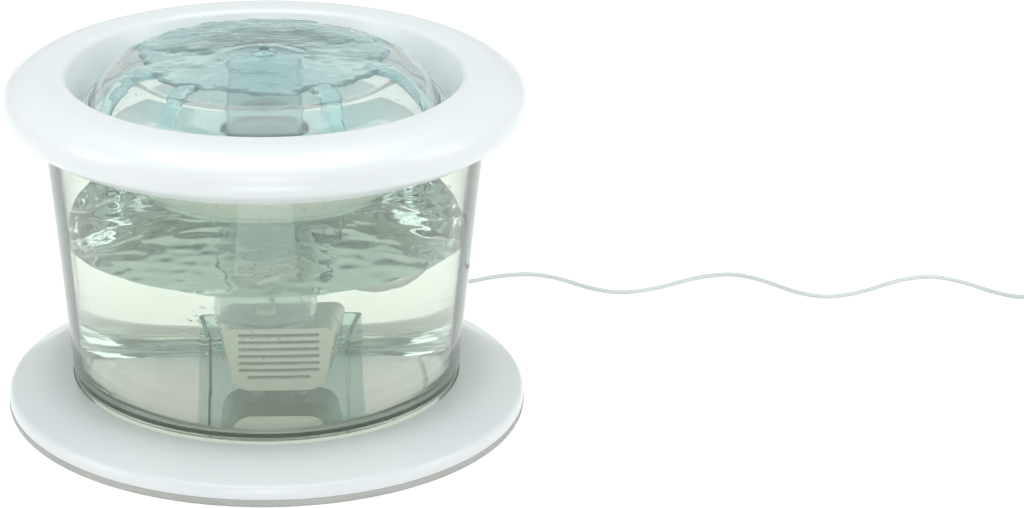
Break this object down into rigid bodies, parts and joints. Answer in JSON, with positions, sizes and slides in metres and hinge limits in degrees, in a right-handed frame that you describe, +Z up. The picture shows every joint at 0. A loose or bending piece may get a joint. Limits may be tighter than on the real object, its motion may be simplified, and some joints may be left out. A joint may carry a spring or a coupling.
{
  "type": "pet water fountain",
  "caption": "Round clear tank with a white drinking ring, a clear dome that water runs over, an inner pump and filter, and a thin lead.",
  "frame": {"origin": "centre of the round base where it rests, on the fountain's own axis", "axes": "+Z up along the axis of the tank, -Y towards the front where the pump's grille faces"},
  "size_m": [0.6798, 0.3339, 0.2089],
  "materials": {
    "white_plastic": "white moulded ABS, satin gloss",
    "grey_rubber": "warm light grey soft rubber, matte",
    "tank_clear": "clear acrylic, polished, faint green tint",
    "clear_plastic": "clear moulded plastic, polished",
    "cream_plastic": "cream moulded plastic, satin",
    "filter_foam": "light beige open-cell foam",
    "cartridge_fabric": "pale non-woven pouch",
    "dial_plastic": "dark grey plastic",
    "grille_foam": "dark grey open-cell foam",
    "rotor_magnet": "dark moulded ferrite magnet",
    "shaft_steel": "ground stainless steel",
    "bush_ceramic": "white ceramic",
    "core_iron": "laminated iron",
    "coil_wire": "enamelled copper wire",
    "cup_rubber": "translucent pale silicone",
    "cord_sheath": "light grey-white PVC sheath",
    "adapter_plastic": "white moulded plastic, fine texture",
    "pin_metal": "plated contact pins"
  },
  "bodies": {
    "vessel": {"base_ring": "white_plastic", "anti_slip_ring": "grey_rubber", "tank": "tank_clear", "rim_grommet": "grey_rubber", "stem_tube": "clear_plastic", "nozzle_seal": "grey_rubber", "pump_housing": "cream_plastic", "pump_back_cover": "cream_plastic", "cord_gland": "cord_sheath", "volute_cover": "cream_plastic", "impeller_shaft": "shaft_steel", "shaft_bush_front": "bush_ceramic", "shaft_bush_rear": "bush_ceramic", "stator_core": "core_iron", "stator_coil": "coil_wire", "suction_cups": "cup_rubber", "pump_cradle": "clear_plastic", "pump_cord": "cord_sheath", "cord_lead": "cord_sheath", "cord_coil": "cord_sheath", "adapter_relief": "cord_sheath", "adapter_body": "adapter_plastic", "adapter_pins": "pin_metal"},
    "ring": {"drinking_ring": "white_plastic"},
    "bowl": {"filter_bowl": "clear_plastic", "return_spout": "clear_plastic", "foam_filter": "filter_foam", "carbon_cartridge": "cartridge_fabric"},
    "dome": {"water_dome": "clear_plastic"},
    "grille": {"pump_grille": "cream_plastic", "grille_foam": "grille_foam"},
    "dial": {"flow_dial": "dial_plastic"},
    "rotor": {"impeller": "rotor_magnet"}
  },
  "joints": [
    {"name": "ring_lift", "type": "slide", "parent": "vessel", "child": "ring", "axis": [0, 0, 1], "range_m": [0, 0.15]},
    {"name": "bowl_lift", "type": "slide", "parent": "ring", "child": "bowl", "axis": [0, 0, 1], "range_m": [0, 0.12]},
    {"name": "dome_lift", "type": "slide", "parent": "bowl", "child": "dome", "axis": [0, 0, 1], "range_m": [0, 0.06]},
    {"name": "grille_pull", "type": "slide", "parent": "vessel", "child": "grille", "axis": [0, -1, 0], "range_m": [0, 0.03]},
    {"name": "dial_turn", "type": "hinge", "parent": "vessel", "child": "dial", "pos_m": [0.0055, 0.0046, 0.05], "axis": [0, -1, 0], "range_deg": [0, 90]},
    {"name": "impeller_spin", "type": "hinge", "parent": "vessel", "child": "rotor", "pos_m": [0.0055, 0.0046, 0.05], "axis": [0, -1, 0], "continuous": true}
  ]
}
